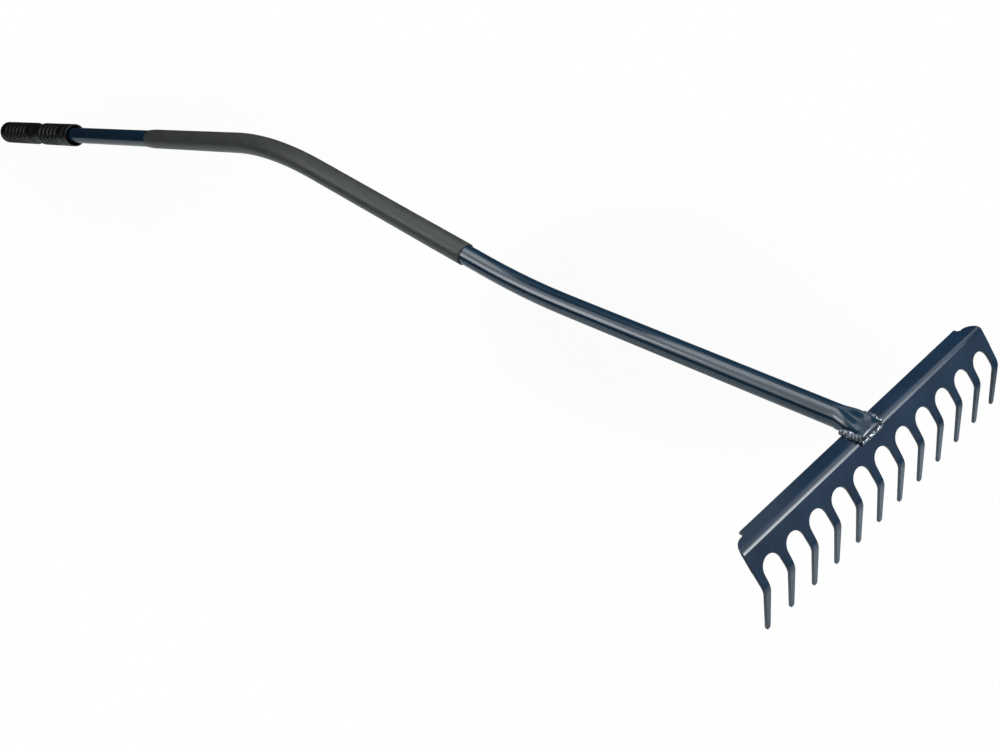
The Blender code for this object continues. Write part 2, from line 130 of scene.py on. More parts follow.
# Welds: where each bead's middle line runs, its height and its ripples
SIDE_BEAD_GAP = 0.0009
SIDE_BEAD_Z = 0.0012
SIDE_BEAD_HEIGHT = 0.0092
BEAD_SOLE = -0.0014
SIDE_BEAD_BACK = 0.0202
SIDE_BEAD_FRONT = -0.0018
FRONT_BEAD_REACH = 0.0156
FRONT_BEAD_Y = -0.0029
FRONT_BEAD_Z = -0.0021
FRONT_BEAD_HEIGHT = 0.0052
FRONT_BEAD_WIDTH = 0.0038
RIPPLE_PITCH = 0.0031
WELD_SEED = 1
BEAD_SIDES = 44
SIDE_BEAD_ROWS = 76
FRONT_BEAD_ROWS = 110

# Drift of the ripples, lumps and pits: how many fit in a metre, and how far they stand out
DRIFT_SCALE = 300
LUMP_SCALE = 330.0
LUMP_HEIGHT = 0.0008
PIT_SCALE = 850.0
PIT_HEIGHT = 0.0003

# Spatter: its distance from the bead, its height on the sheet and on the tongue, and its size
SPATTER_GAP = 0.0032
SPATTER_REACH = 0.004
SPATTER_ON_SHEET = 0.0001
SPATTER_ON_TONGUE = 0.0052
SPATTER_LEAST = 0.00015
SPATTER_GROWTH = 0.0002

# Sleeve: the gap inside it, its eased lower edge, the foam left at its upper end, how far out
# its outside starts, and how much it swells from place to place
SLEEVE_GAP = 0.0002
SLEEVE_EDGE = 0.0004
SLEEVE_FIRST_ROW = 0.003
SLEEVE_ROW = 0.006
TAPER_ROWS = 10
END_FOAM = 0.0005
SLEEVE_SKIN = 0.0003
SWELL_SHARE = 0.012
SWELL_ACROSS = 25
SWELL_ALONG = 14

# Grip: lengths along the shaft, its cupped mouth, its rounded edges and end, and its mesh
END_WALL = 0.0138
CUP_DEPTH = 0.012
CUP_RADIUS = 0.0141
LIP_BAND = 0.0125
LIP_GROOVE = 0.0018
COLLAR = 0.0207
RIB_FOOT = 0.01
RIB_CREST = 0.0053
WAIST_LENGTH = 0.0284
WAIST_SAG = 0.0018
PLAIN_BAND = 0.0157
END_ROUND = 0.0055
EDGE_ROUND = 0.0008
GRIP_GAP = 0.0003
GRIP_SIDES = 96
WAIST_ROWS = 16
END_ROWS = 8

# Finishes: how many clouds, droplets, waves, patches, cells or grains fit in a metre, and the
# range in which the clouds lie
ENAMEL_CLOUDS = 28.0
ENAMEL_DROPLETS = 420.0
SHEET_WAVES = 22.0
STEEL_PATCHES = 700.0
FOAM_CLOUDS = 60.0
FOAM_CELLS = 1100.0
RUBBER_CLOUDS = 90.0
RUBBER_GRAIN = 900.0
CLOUD_RANGE = {"From Min": 0.3, "From Max": 0.7}

# Studio: lamps stand round the head, and the floor turns up into a wall all round
LAMP_CENTRE = Vector((0.0, -0.72, 0.08))
LAMP_DISTANCE = 2.4
LAMP_TINT = (0.94, 0.98, 1.0)
SWEEP_RADIUS = 7.0
SWEEP_BEND = 1.5
WALL_HEIGHT = 4.5
SWEEP_ROWS = 12
SWEEP_SIDES = 64
ROOM_COLOUR = (0.9, 0.95, 1.0, 1.0)
ROOM_STRENGTH = 0.06

# Light and shade painted into the paper's colour: a painted pool of light in an ellipse round
# the rake, painted dark beyond it, and a painted shadow in an ellipse beside the shaft. To the
# camera the paper is white apart from the rake's faint shadow, and in the enamel it is the painted
# pool with a little white glow added. Edges are shares of an ellipse's size.
PAINTED_POOL_CENTRE = (0.045, 0.0, 0.0)
PAINTED_POOL_SIZE = (0.37, 0.95, 1.0)
PAINTED_POOL_TURN = math.radians(-5)
PAINTED_POOL_EDGE = {"From Min": 0.85, "From Max": 1.15}
PAINTED_DARK_BEYOND_POOL = 0.05
PAINTED_SHADOW_CENTRE = (0.19, -0.46, 0.0)
PAINTED_SHADOW_SIZE = (0.25, 0.31, 1.0)
PAINTED_SHADOW_TURN = 0.0
PAINTED_SHADOW_EDGE = {"From Min": 0.7, "From Max": 1.15}
IN_PAINTED_SHADOW = 0.3
NEAR_RAKE = {"From Min": 0.4, "From Max": 1.4}
WHITE_NEAR = 0.95
WHITE_IN_ENAMEL = 0.1

# Lamps: azimuth, elevation, width, height, roll and spread in degrees, and then brightness
FRONT_LAMPS = {
    "key_lamp_near": (21, 20.8, 32, 25.6, 0, 180, 5.4),
    "key_lamp_middle": (26, 28, 36, 27, -20, 180, 3.6),
    "key_lamp_far": (30, 31.5, 40, 32, -20, 180, 3.6),
    "fade_lamp": (60, 47, 36, 22, 0, 180, 1.5),
    "fill_lamp": (42, 3.5, 60, 7, 0, 180, 0.3),
    "side_lamp": (98, 52, 34, 18, 0, 180, 0.8),
    "flange_lamp": (142, 47, 20, 11, 0, 180, 0.5),
}
BACK_LAMPS = {
    "ceiling_lamp": (180, 80, 60, 30, 0, 180, 1.0),
    "top_lamp": (178, 63, 34, 18, 0, 84, 4.8),
    "back_lamp": (221, 24, 15, 22, 0, 84, 4.6),
    "wide_back_lamp": (231, 24, 26, 22, 0, 84, 3.2),
    "panel_lamp": (217, 44, 32, 30, 0, 84, 2.7),
}

# Camera, fitted to the rake: its place, its turn and its lens and sensor in millimetres
CAMERA_PLACE = (-0.8437162041664124, -1.3665363788604736, 0.9255706667900085)
CAMERA_TURN = (0.9432445, 0.1808494, -0.7929143)
CAMERA_LENS = 53.846
CAMERA_SENSOR = 36.0


def linear(code):
    """A colour as red, green and blue light, from its hex code."""
    parts = [int(code[start:start + 2], 16) / 255 for start in (1, 3, 5)]
    return [part / 12.92 if part <= 0.04045 else ((part + 0.055) / 1.055) ** 2.4 for part in parts]


def length(name, description, default):
    """A length that the user can change, in metres."""
    return bpy.props.FloatProperty(
        name=name, description=description, default=default, min=0.0, unit="LENGTH", precision=5)


def angle(name, description, degrees):
    """An angle that the user can change, given in degrees."""
    return bpy.props.FloatProperty(
        name=name, description=description, default=math.radians(degrees), unit="ROTATION")


def colour(name, description, code):
    """A colour that the user can change, given as a hex code."""
    return bpy.props.FloatVectorProperty(
        name=name, description=description, default=linear(code), subtype="COLOR",
        size=3, min=0.0, max=1.0)


class RakeHeadSizes(bpy.types.PropertyGroup):
    sheet: length("Sheet", "Thickness of the head's steel sheet", 0.0028)
    tine_count: bpy.props.IntProperty(
        name="Tines", description="Number of tines", default=12, min=2)
    tine_pitch: length("Tine pitch", "Distance from one tine to the next", 0.032)
    ridge_turn: angle("Ridge turn", "How far the face is bent down from the flange", 58.8)
    ridge_radius: length("Ridge radius", "Outer radius of the bend between flange and face", 0.007)
    knee_turn: angle("Knee turn", "How far each tine is bent back below its knee", 34.4)
    knee_radius: length("Knee radius", "Outer radius of the bend in each tine", 0.017)
    edge_round: length("Edge round", "Rounding of the sheared edges under the paint", 0.0005)
    enamel: colour("Enamel", "Colour of the head's baked enamel", "#162a3e")


class RakeShaftSizes(bpy.types.PropertyGroup):
    diameter: length("Diameter", "Outer diameter of the shaft's tube", 0.022)
    wall: length("Wall", "Wall of the shaft's tube", 0.0015)
    enamel: colour("Enamel", "Colour of the shaft's baked enamel", "#182d3e")


class RakeWeldSizes(bpy.types.PropertyGroup):
    bead: length("Bead", "Width of the beads beside the tongue", 0.0086)
    spatter: bpy.props.IntProperty(
        name="Spatter", description="Drops of weld spatter beside each bead", default=20, min=0)
    enamel: colour("Enamel", "Colour of the enamel over the welds", "#1a2b3c")
    steel: colour("Steel", "Colour of the steel where the enamel is thin", "#b9bdc6")


class RakeSleeveSizes(bpy.types.PropertyGroup):
    start: length("Start", "Distance from the head's ridge to the sleeve", 0.501)
    length: length("Length", "Length of the sleeve along the shaft", 0.6205)
    wall: length("Wall", "Wall of the foam", 0.0012)
    taper: length("Taper", "Length over which the sleeve's upper end thins out", 0.014)
    foam: colour("Foam", "Colour of the foam", "#42443f")


class RakeGripSizes(bpy.types.PropertyGroup):
    diameter: length("Diameter", "Diameter over the ribs", 0.032)
    rib_pitch: length("Rib pitch", "Distance from one rib to the next", 0.0131)
    rib_depth: length("Rib depth", "Depth of the grooves between the ribs", 0.0016)
    front_ribs: bpy.props.IntProperty(
        name="Front ribs", description="Ribs between the collar and the waist", default=5, min=1)
    end_ribs: bpy.props.IntProperty(
        name="End ribs", description="Ribs between the plain band and the round end",
        default=6, min=1)
    rubber: colour("Rubber", "Colour of the moulded rubber", "#0e0e0d")


class RakeStageSizes(bpy.types.PropertyGroup):
    floor: colour("Floor", "Colour of the studio floor", "#eaf0f0")
    key: bpy.props.FloatProperty(
        name="Key light", description="Strength of the lamps in front", default=1.0, min=0.0)
    back: bpy.props.FloatProperty(
        name="Back light", description="Strength of the lamps behind", default=1.0, min=0.0)


def walk(distance, bends):
    """Where a line of straights and round bends is after a distance, and how it slopes."""
    along = up = slope = reached = 0.0
    for start, radius, turn in bends:
        straight = min(distance, start) - reached
        along += straight * math.cos(slope)
        up += straight * math.sin(slope)
        if distance <= start:
            return along, up, slope
        side = math.copysign(radius, turn)
        swept = turn * min(1.0, (distance - start) / (radius * abs(turn)))
        along += side * (math.sin(slope + swept) - math.sin(slope))
        up += side * (math.cos(slope) - math.cos(slope + swept))
        slope += swept
        reached = start + radius * abs(turn)
        if distance <= reached:
            return along, up, slope
    straight = distance - reached
    return along + straight * math.cos(slope), up + straight * math.sin(slope), slope


def steps(first, last, count):
    """Evenly spaced values from first to last, both included."""
    return [first + (last - first) * index / count for index in range(count + 1)]


def smooth(share):
    """An eased share of 0 to 1."""
    share = min(1.0, max(0.0, share))
    return share * share * (3 - 2 * share)


def shaft_bends():
    """The shaft's two bends: where each starts, its radius and its turn."""
    rise = NECK_LENGTH - RISE_RADIUS * math.tan(RISE_TURN / 2)
    fall = rise + RISE_RADIUS * RISE_TURN + RISE_LENGTH
    fall -= RISE_RADIUS * math.tan(RISE_TURN / 2) + FALL_RADIUS * math.tan(FALL_TURN / 2)
    return [(rise, RISE_RADIUS, RISE_TURN), (fall, FALL_RADIUS, -FALL_TURN)]


def shaft_frame(distance):
    """The shaft's frame at a distance from the ridge: X across, Y along it, Z square to both."""
    along, up, slope = walk(distance, shaft_bends())
    place = Matrix.Translation((0.0, along, AXIS_HEIGHT + up))
    return place @ Matrix.Rotation(slope, 4, "X")


def bend_along_shaft(shape):
    """Bend a shape that was drawn along a straight Y axis on to the shaft's line."""
    frames = {}
    for point in shape.verts:
        distance = round(point.co.y, 6)
        if distance not in frames:
            frames[distance] = shaft_frame(distance)
        point.co = frames[distance] @ Vector((point.co.x, 0.0, point.co.z))


def shaft_rows(first, last, gap):
    """Distances along the shaft from first to last, no more than gap apart."""
    return steps(first, last, max(1, math.ceil((last - first) / gap)))


def finish_piece(name, shape, material, *nodes):
    """Turn a drawn shape into a piece on the rake that stands for the given nodes."""
    shape.transform(Matrix.Translation(STANCE_PLACE) @ Matrix.Rotation(STANCE, 4, "X"))
    mesh = bpy.data.meshes.new(name)
    shape.to_mesh(mesh)
    shape.free()
    mesh.materials.append(material)
    mesh.shade_smooth()
    piece = bpy.data.objects.new(name, mesh)
    bpy.context.scene.collection.objects.link(piece)
    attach(piece, "root")
    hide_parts(*nodes)
    return piece


def add_wall(piece, thickness):
    """Give a skin its wall, on its inner side."""
    wall = piece.modifiers.new("wall", "SOLIDIFY")
    wall.thickness = thickness
    wall.offset = -1.0
    wall.use_even_offset = True


def add_rounding(piece, width, segments, limit):
    """Round the sharp edges of a piece."""
    rounding = piece.modifiers.new("rounding", "BEVEL")
    rounding.width = width
    rounding.segments = segments
    rounding.limit_method = "ANGLE"
    rounding.angle_limit = math.radians(limit)
    rounding.use_clamp_overlap = False
    rounding.loop_slide = False
    rounding.harden_normals = True


def add_node(material, kind, links=None, **settings):
    """Add one node: settings are its own values, links its inputs as numbers or sockets."""
    tree = material.node_tree
    node = tree.nodes.new(kind)
    for name, value in settings.items():
        setattr(node, name, value)
    for name, value in (links or {}).items():
        socket = node.inputs[name]
        if isinstance(value, bpy.types.NodeSocket):
            tree.links.new(value, socket)
        else:
            socket.default_value = value
    return node


def new_material(name, **shader_values):
    """An empty material with its shader, and object coordinates to draw its pattern on."""
    material = bpy.data.materials.new(name)
    material.use_nodes = True
    shader = material.node_tree.nodes["Principled BSDF"]
    for socket, value in shader_values.items():
        shader.inputs[socket.replace("_", " ")].default_value = value
    coordinates = add_node(material, "ShaderNodeTexCoord").outputs["Object"]
    return material, shader, coordinates


def mottle(material, shader, place, shade, scale, spread):
    """Vary a colour a little in soft clouds, and return the clouds for other uses."""
    cloud = add_node(material, "ShaderNodeTexNoise", {
        "Vector": place, "Scale": scale, "Detail": 4.0})
    tone = add_node(material, "ShaderNodeMapRange", {
        "Value": cloud.outputs["Fac"], **CLOUD_RANGE, "To Min": 1 - spread, "To Max": 1 + spread})
    paint = add_node(material, "ShaderNodeVectorMath", {0: shade, "Scale": tone.outputs["Result"]},
                     operation="SCALE")
    material.node_tree.links.new(paint.outputs["Vector"], shader.inputs["Base Color"])
    return cloud.outputs["Fac"]


def vary_roughness(material, shader, cloud, low, high):
    """Let the gloss follow the clouds from low to high roughness."""
    haze = add_node(material, "ShaderNodeMapRange", {
        "Value": cloud, **CLOUD_RANGE, "To Min": low, "To Max": high})
    material.node_tree.links.new(haze.outputs["Result"], shader.inputs["Roughness"])


def baked_enamel(name, shade, roughness, peel, waviness):
    """Baked enamel, sprayed on steel and stoved: a deep even gloss over the navy pigment.

    The eye sees sharp but slightly wavy reflections, with the faint orange peel of a sprayed
    coat. Its droplets are about 2 mm across and the sheet's own waves about 45 mm long.
    """
    material, shader, place = new_material(name, IOR=1.5)
    cloud = mottle(material, shader, place, shade, ENAMEL_CLOUDS, 0.15)
    vary_roughness(material, shader, cloud, roughness * 0.85, roughness * 1.15)
    droplets = add_node(material, "ShaderNodeTexNoise", {
        "Vector": place, "Scale": ENAMEL_DROPLETS, "Detail": 2.0})
    orange_peel = add_node(material, "ShaderNodeBump", {
        "Height": droplets.outputs["Fac"], "Strength": peel, "Distance": 0.0002})
    waves = add_node(material, "ShaderNodeTexNoise", {
        "Vector": place, "Scale": SHEET_WAVES, "Detail": 1.0})
    bump = add_node(material, "ShaderNodeBump", {
        "Height": waves.outputs["Fac"], "Strength": waviness, "Distance": 0.001,
        "Normal": orange_peel.outputs["Normal"]})
    material.node_tree.links.new(bump.outputs["Normal"], shader.inputs["Normal"])
    return material


def weld_enamel(shade, steel):
    """Enamel on the rough weld beads: it runs thin on their crests, where bright steel shows.

    The eye sees small glints of steel between dark pits. The patches are about 1 mm across.
    """
    material, shader, place = new_material("thin_enamel_on_weld", IOR=1.5, Roughness=0.22)
    patches = add_node(material, "ShaderNodeTexNoise", {
        "Vector": place, "Scale": STEEL_PATCHES, "Detail": 3.0})
    bare = add_node(material, "ShaderNodeMapRange", {
        "Value": patches.outputs["Fac"], "From Min": 0.42, "From Max": 0.62, "To Min": 0.0,
        "To Max": 0.8}, interpolation_type="SMOOTHSTEP").outputs["Result"]
    skin = add_node(material, "ShaderNodeMix", {
        "Factor": bare, "A": (*shade, 1.0), "B": (*steel, 1.0)}, data_type="RGBA")
    material.node_tree.links.new(skin.outputs["Result"], shader.inputs["Base Color"])
    material.node_tree.links.new(bare, shader.inputs["Metallic"])
    bump = add_node(material, "ShaderNodeBump", {
        "Height": patches.outputs["Fac"], "Strength": 0.3, "Distance": 0.0003})
    material.node_tree.links.new(bump.outputs["Normal"], shader.inputs["Normal"])
    return material


def closed_cell_foam(shade):
    """Closed-cell foam rubber tube with a smooth skin: grey, with a soft broad sheen.

    Its cells are about 0.3 mm across; they are drawn 0.9 mm across so that they show.
    """
    material, shader, place = new_material("closed_cell_foam", IOR=1.45, Specular_IOR_Level=0.3)
    cloud = mottle(material, shader, place, shade, FOAM_CLOUDS, 0.1)
    vary_roughness(material, shader, cloud, 0.32, 0.42)
    cells = add_node(material, "ShaderNodeTexVoronoi", {"Vector": place, "Scale": FOAM_CELLS})
    bump = add_node(material, "ShaderNodeBump", {
        "Height": cells.outputs["Distance"], "Strength": 0.2, "Distance": 0.0003})
    material.node_tree.links.new(bump.outputs["Normal"], shader.inputs["Normal"])
    return material


def moulded_rubber(shade):
    """Moulded black rubber: half gloss from the mould, with a fine grain.

    The grain is about 0.5 mm across; it is drawn 1.1 mm across so that it shows.
    """
    material, shader, place = new_material("moulded_rubber", IOR=1.5)
    cloud = mottle(material, shader, place, shade, RUBBER_CLOUDS, 0.22)
    vary_roughness(material, shader, cloud, 0.32, 0.46)
    grain = add_node(material, "ShaderNodeTexNoise", {
        "Vector": place, "Scale": RUBBER_GRAIN, "Detail": 2.0})
    bump = add_node(material, "ShaderNodeBump", {
        "Height": grain.outputs["Fac"], "Strength": 0.3, "Distance": 0.0003})
    material.node_tree.links.new(bump.outputs["Normal"], shader.inputs["Normal"])
    return material


def ellipse_distance(material, place, centre, size, turn):
    """How far out a place is in an ellipse on the floor: 0 at its centre and 1 on its edge."""
    local = add_node(material, "ShaderNodeMapping", {
        "Vector": place, "Location": centre, "Rotation": (0.0, 0.0, turn), "Scale": size},
        vector_type="TEXTURE")
    return add_node(material, "ShaderNodeVectorMath", {0: local.outputs["Vector"]},
                    operation="LENGTH").outputs["Value"]


def paper_with_painted_pool(shade):
    """Matt white paper with a painted pool of light round the rake, painted dark beyond it.

    The eye sees white paper everywhere, with the rake's faint shadow. A painted shadow dims the
    paper's colour in an ellipse beside the shaft. The enamel mirrors the painted pool, the
    painted shadow in it and the painted dark beyond it, with a little white glow over the pool.
    """
    material, shader, place = new_material("paper_with_painted_pool", Roughness=0.9, Specular_IOR_Level=0.1)
    tree = material.node_tree
    # Painted pool of light: the paper's colour is full in an ellipse round the rake and painted
    # dark beyond it
    away = ellipse_distance(material, place, PAINTED_POOL_CENTRE, PAINTED_POOL_SIZE, PAINTED_POOL_TURN)
    painted_pool = add_node(material, "ShaderNodeMapRange", {
        "Value": away, **PAINTED_POOL_EDGE, "To Min": 1.0, "To Max": PAINTED_DARK_BEYOND_POOL},
        interpolation_type="SMOOTHSTEP")
    # Painted shadow: the paper's colour is dimmed in an ellipse beside the shaft
    painted_shadow_away = ellipse_distance(material, place, PAINTED_SHADOW_CENTRE, PAINTED_SHADOW_SIZE, PAINTED_SHADOW_TURN)
    painted_shadow = add_node(material, "ShaderNodeMapRange", {
        "Value": painted_shadow_away, **PAINTED_SHADOW_EDGE, "To Min": IN_PAINTED_SHADOW, "To Max": 1.0},
        interpolation_type="SMOOTHSTEP")
    # The painted light and the painted shadow together scale the paper's colour
    painted_light = add_node(material, "ShaderNodeMath", {
        0: painted_pool.outputs["Result"], 1: painted_shadow.outputs["Result"]}, operation="MULTIPLY")
    paper_with_painted_light = add_node(material, "ShaderNodeVectorMath", {0: shade, "Scale": painted_light.outputs["Value"]},
                     operation="SCALE")
    tree.links.new(paper_with_painted_light.outputs["Vector"], shader.inputs["Base Color"])
    path = add_node(material, "ShaderNodeLightPath")
    seen = add_node(material, "ShaderNodeMath", {
        0: path.outputs["Is Camera Ray"], 1: path.outputs["Is Transmission Ray"]}, operation="ADD")
    bright = add_node(material, "ShaderNodeMapRange", {
        "Value": away, **NEAR_RAKE, "To Min": WHITE_NEAR, "To Max": 1.0},
        interpolation_type="SMOOTHSTEP")
    direct = add_node(material, "ShaderNodeMath", {
        0: seen.outputs["Value"], 1: bright.outputs["Result"]}, operation="MULTIPLY")
    # Mirrors see the painted pool and the painted shadow as a faint white glow
    painted_light_mirrored = add_node(material, "ShaderNodeMath", {
        0: path.outputs["Is Glossy Ray"], 1: painted_light.outputs["Value"]}, operation="MULTIPLY")
    share = add_node(material, "ShaderNodeMath", {
        0: painted_light_mirrored.outputs["Value"], 1: WHITE_IN_ENAMEL, 2: direct.outputs["Value"]},
        operation="MULTIPLY_ADD")
    white = add_node(material, "ShaderNodeEmission", {"Color": (1, 1, 1, 1), "Strength": 1.0})
    mix = add_node(material, "ShaderNodeMixShader", {
        0: share.outputs["Value"], 1: shader.outputs["BSDF"], 2: white.outputs["Emission"]})
    tree.links.new(mix.outputs["Shader"], tree.nodes["Material Output"].inputs["Surface"])
    return material


class Blank:
    """The head's flat blank: X along the head, and distances down from the flange's edge."""

    def __init__(self, sizes):
        self.sizes = sizes
        self.outer_tine = (sizes.tine_count - 1) / 2 * sizes.tine_pitch
        self.reach = self.outer_tine + END_MARGIN
        tangent = sizes.ridge_radius * math.tan(sizes.ridge_turn / 2)
        self.ridge_start = FLANGE_DEPTH - tangent
        self.ridge_end = self.ridge_start + sizes.ridge_radius * sizes.ridge_turn
        self.face_zero = self.ridge_end - tangent
        self.knee_tangent = sizes.knee_radius * math.tan(sizes.knee_turn / 2)
        self.knee_length = sizes.knee_radius * sizes.knee_turn
        self.arch_radius = (sizes.tine_pitch - ROOT_WIDTH) / 2
        self.arch_top = self.face_zero + ARCH_TOP
        self.arch_foot = self.arch_top + self.arch_radius

    def bow(self, x):
        """How much of the bow there is at x: 0 in the middle and 1 at the outer tines."""
        return (x / self.outer_tine) ** 2

    def knee_start(self, x):
        """The distance at which the knee of the tine at x starts."""
        return self.face_zero + FACE_HEIGHT - KNEE_BOW * self.bow(x) - self.knee_tangent

    def tip(self, x):
        """The distance to the tip of the tine at x: all the tips come down to the ground."""
        turn = self.sizes.ridge_turn + STANCE
        lost = KNEE_BOW * math.sin(turn) - TIP_RISE
        drop = TINE_DROP + self.bow(x) * lost / math.sin(turn + self.sizes.knee_turn)
        return self.knee_start(x) + self.knee_length + drop - self.knee_tangent

    def tine_side(self, x, side):
        """Corners down one side of a tine, from its root to its tip, as (x, distance)."""
        knee = self.knee_start(x) + self.knee_length / 2
        tip = self.tip(x)
        return [
            (x + side * ROOT_WIDTH / 2, self.arch_foot),
            (x + side * KNEE_WIDTH / 2, knee),
            (x + side * TIP_WIDTH / 2, tip - TIP_CHAMFER),
            (x + side * TIP_NOSE / 2, tip),
        ]

    def half_outline(self):
        """Corners from the middle of the flange's edge round to the middle of the head.

        Each corner is its x, its distance down and the radius that rounds it off.
        """
        flange = self.reach - SHOULDER_RADIUS - NOTCH_RADIUS
        step = self.face_zero + STEP_START
        corners = [
            (flange, 0.0, TAB_ROUND),
            (flange, TAB_DEPTH, NOTCH_RADIUS),
            (self.reach, TAB_DEPTH, SHOULDER_RADIUS),
            (self.reach, step, STEP_ROUND),
            (self.outer_tine + ROOT_WIDTH / 2, step + STEP_LENGTH, STEP_ROUND),
        ]
        centres = [self.outer_tine - self.sizes.tine_pitch * index
                   for index in range(self.sizes.tine_count // 2)]
        for x in centres:
            down = self.tine_side(x, 1)
            first = 1 if x == self.outer_tine else 0
            corners += [(*corner, 0.0) for corner in down[first:]]
            up = self.tine_side(x, -1)
            corners += [(*corner, 0.0) for corner in reversed(up)]
            corners.append((x - ROOT_WIDTH / 2, self.arch_top, self.arch_radius))
            if x > self.sizes.tine_pitch:
                corners.append((x - self.sizes.tine_pitch + ROOT_WIDTH / 2, self.arch_top,
                                self.arch_radius))
        return corners

    def fold(self, point):
        """Where a point of the flat blank is on the bent head."""
        pitch = self.sizes.tine_pitch
        place = round((point.x + self.outer_tine) / pitch)
        tine = min(self.sizes.tine_count - 1, max(0, place)) * pitch - self.outer_tine
        forward, up = walk(-point.y, [
            (self.ridge_start, self.sizes.ridge_radius, -self.sizes.ridge_turn),
            (self.knee_start(tine), self.sizes.knee_radius, -self.sizes.knee_turn),
        ])[:2]
        return Vector((point.x, FLANGE_DEPTH - forward, up))


def cut_rows(shape, faces, rows):
    """Cut the flat faces across at each distance, so that they can be bent there."""
    for row in rows:
        parts = set(faces)
        for face in faces:
            parts.update(face.edges)
            parts.update(face.verts)
        made = bmesh.ops.bisect_plane(
            shape, geom=list(parts), dist=ROW_SNAP, plane_co=(0.0, -row, 0.0),
            plane_no=(0.0, 1.0, 0.0))
        faces = [item for item in made["geom"] if isinstance(item, bmesh.types.BMFace)]


def draw_blank(blank):
    """The flat blank with its slots: square corners first, which are then rounded."""
    shape = bmesh.new()
    half = blank.half_outline()
    whole = half + [(-x, down, radius) for x, down, radius in reversed(half)]
    points = [shape.verts.new((x, -down, 0.0)) for x, down, radius in whole]
    shape.faces.new(points)
    for radius in sorted({radius for x, down, radius in whole if radius > 0}):
        corners = [point for point, corner in zip(points, whole) if corner[2] == radius]
        cuts = max(3, round(CORNER_CUTS * min(1.0, radius / FULL_CORNER)))
        bmesh.ops.bevel(shape, geom=corners, offset=radius, offset_type="OFFSET",
                        affect="VERTICES", segments=cuts, profile=0.5, material=-1)
    bmesh.ops.remove_doubles(shape, verts=shape.verts, dist=CORNER_MERGE)
    bmesh.ops.recalc_face_normals(shape, faces=shape.faces)
    if shape.faces[:][0].normal.z < 0:
        bmesh.ops.reverse_faces(shape, faces=shape.faces)
    bmesh.ops.inset_region(shape, faces=shape.faces, thickness=RIM, use_even_offset=True,
                           use_boundary=True)
    return shape


def draw_head(sizes):
    """The head's outer skin, folded at the ridge and at the knee of each tine."""
    blank = Blank(sizes)
    shape = draw_blank(blank)
    ridge = steps(blank.ridge_start, blank.ridge_end, RIDGE_ROWS)
    rows = [ridge[0] - BEND_EDGE, *ridge, ridge[-1] + BEND_EDGE, blank.arch_foot]
    cut_rows(shape, shape.faces[:], rows)
    for number in range(sizes.tine_count):
        x = number * sizes.tine_pitch - blank.outer_tine
        faces = [face for face in shape.faces
                 if abs(face.calc_center_median().x - x) < ROOT_WIDTH
                 and face.calc_center_median().y < -blank.arch_foot]
        knee = steps(blank.knee_start(x), blank.knee_start(x) + blank.knee_length, KNEE_ROWS)
        cut_rows(shape, faces, [knee[0] - BEND_EDGE, *knee, knee[-1] + BEND_EDGE])
    bmesh.ops.remove_doubles(shape, verts=shape.verts, dist=ROW_MERGE)
    for point in shape.verts:
        point.co = blank.fold(point.co)
    return shape


def spin_outline(outline, sides, closed):
    """Turn an outline of distances along the shaft and radii once round the shaft's axis."""
    shape = bmesh.new()
    points = [shape.verts.new((radius, distance, 0.0)) for distance, radius in outline]
    pairs = list(zip(points, points[1:]))
    if closed:
        pairs.append((points[-1], points[0]))
    edges = [shape.edges.new(pair) for pair in pairs]
    bmesh.ops.spin(shape, geom=points + edges, cent=(0.0, 0.0, 0.0), axis=(0.0, 1.0, 0.0),
                   dvec=(0.0, 0.0, 0.0), angle=2 * math.pi, steps=sides, use_merge=True,
                   use_duplicate=False)
    bmesh.ops.remove_doubles(shape, verts=shape.verts, dist=1e-6)
    bmesh.ops.recalc_face_normals(shape, faces=shape.faces)
    return shape


def pressed(distance, flat, round_end):
    """How far the press has flattened the tube: 1 where it is flat, 0 where it is round.

    It is an even slope that is only half eased, so that a crease shows where it starts.
    """
    share = min(1.0, max(0.0, (distance - flat) / (round_end - flat)))
    return 1 - (share + smooth(share)) / 2


def tongue_width(distance, radius):
    """The pressed tube's half width: it grows as the tube flattens, then narrows to its mouth."""
    top = pressed(distance, TOP_FLAT, TOP_ROUND)
    under = pressed(distance, UNDER_FLAT, UNDER_ROUND)
    flat = radius - TONGUE_THICKNESS / 2
    height = radius - flat * (top + under) / 2
    wide = math.pi * radius / 2 - (math.pi / 2 - 1) * height
    return wide * (1 - TONGUE_SQUEEZE * top)


def press_tongue(shape, radius):
    """Press the tube's lower end flat: its underside at once, and its top over a longer slope.

    The top's slope is longest in the middle, and its shoulders stay round for longer.
    """
    for point in shape.verts:
        if point.co.z > 0:
            side = (abs(point.co.x) / radius) ** SHOULDER_POWER
            flat, crown = TOP_FLAT, TOP_CROWN
            round_end = TOP_ROUND + (SHOULDER_ROUND - TOP_ROUND) * side
        else:
            flat, round_end, crown = UNDER_FLAT, UNDER_ROUND, UNDER_CROWN
        share = pressed(point.co.y, flat, round_end)
        height = radius + (TONGUE_THICKNESS / 2 - radius) * share
        squareness = 2 + (crown - 2) * share
        across = abs(point.co.x / radius) ** (2 / squareness)
        up = abs(point.co.z / radius) ** (2 / squareness)
        point.co.x = math.copysign(tongue_width(point.co.y, radius) * across, point.co.x)
        point.co.z = math.copysign(height * up, point.co.z)


def turn_lip_down(shape):
    """Turn down the outer edge of the tongue's upper lip, as the press leaves it."""
    for point in shape.verts:
        share = 1 - (point.co.y - TONGUE_FRONT) / LIP_LENGTH
        if share > 0 and point.co.z > 0:
            point.co.z -= LIP_DROP * share * 2 * point.co.z / TONGUE_THICKNESS


